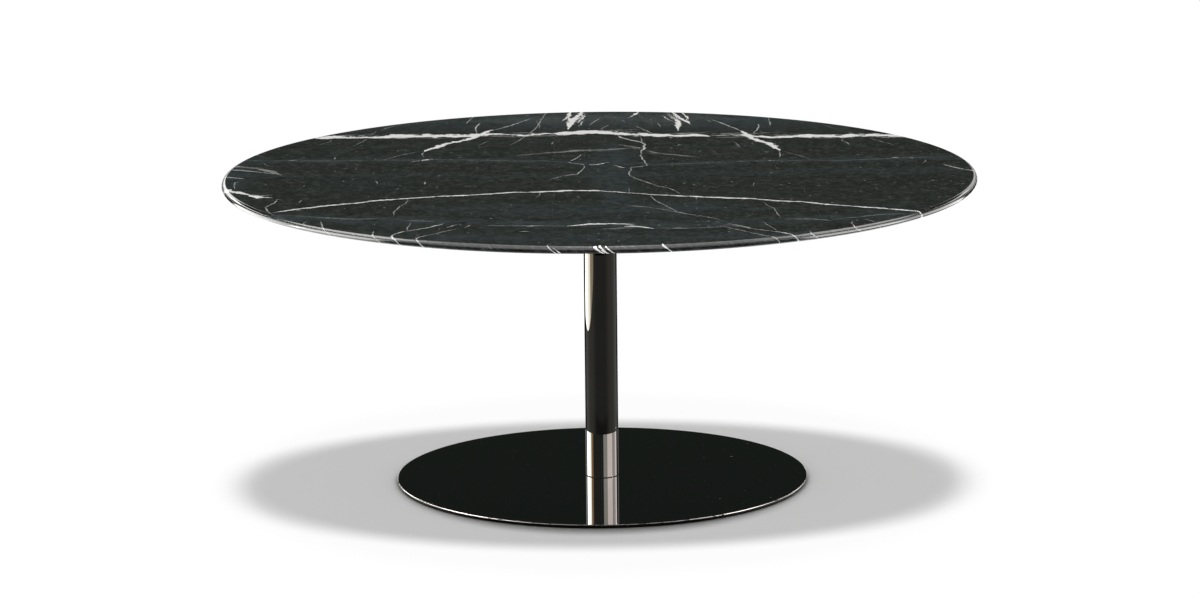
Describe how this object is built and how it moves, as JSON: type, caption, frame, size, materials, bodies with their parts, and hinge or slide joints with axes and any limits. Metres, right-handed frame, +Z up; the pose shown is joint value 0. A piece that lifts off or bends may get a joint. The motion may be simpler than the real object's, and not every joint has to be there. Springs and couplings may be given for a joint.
{
  "type": "round cocktail table",
  "caption": "Low round pedestal table: veined black stone disc with a rounded nose, on a slim polished dark tube and a thin round base plate.",
  "frame": {"origin": "on the floor under the middle of the column", "axes": "+Z up along the column; -Y towards the viewer and +X to the right in the picture"},
  "size_m": [1, 1, 0.415],
  "materials": {
    "black_marble": "polished, white veins",
    "black_nickel": "polished dark plating",
    "powder_coat": "matte black powder coat",
    "zinc_steel": "zinc plated",
    "brass": "turned",
    "black_rubber": "matte",
    "felt": "dense pressed felt"
  },
  "bodies": {
    "root": {"base_plate": "black_nickel", "base_screws": "zinc_steel", "column_tube": "black_nickel", "fixing_screws": "zinc_steel", "fixing_washers": "zinc_steel", "floor_glide_1": "felt", "floor_glide_2": "felt", "floor_glide_3": "felt", "floor_glide_4": "felt", "floor_glide_5": "felt", "floor_glide_6": "felt", "foot_gasket": "black_rubber", "isolation_pad_1": "black_rubber", "isolation_pad_2": "black_rubber", "isolation_pad_3": "black_rubber", "isolation_pad_4": "black_rubber", "isolation_pad_5": "black_rubber", "isolation_pad_6": "black_rubber", "lower_plug": "zinc_steel", "marble_top": "black_marble", "mounting_plate": "powder_coat", "threaded_inserts": "brass", "upper_plug": "zinc_steel", "upper_plug_screws": "zinc_steel"}
  },
  "joints": []
}
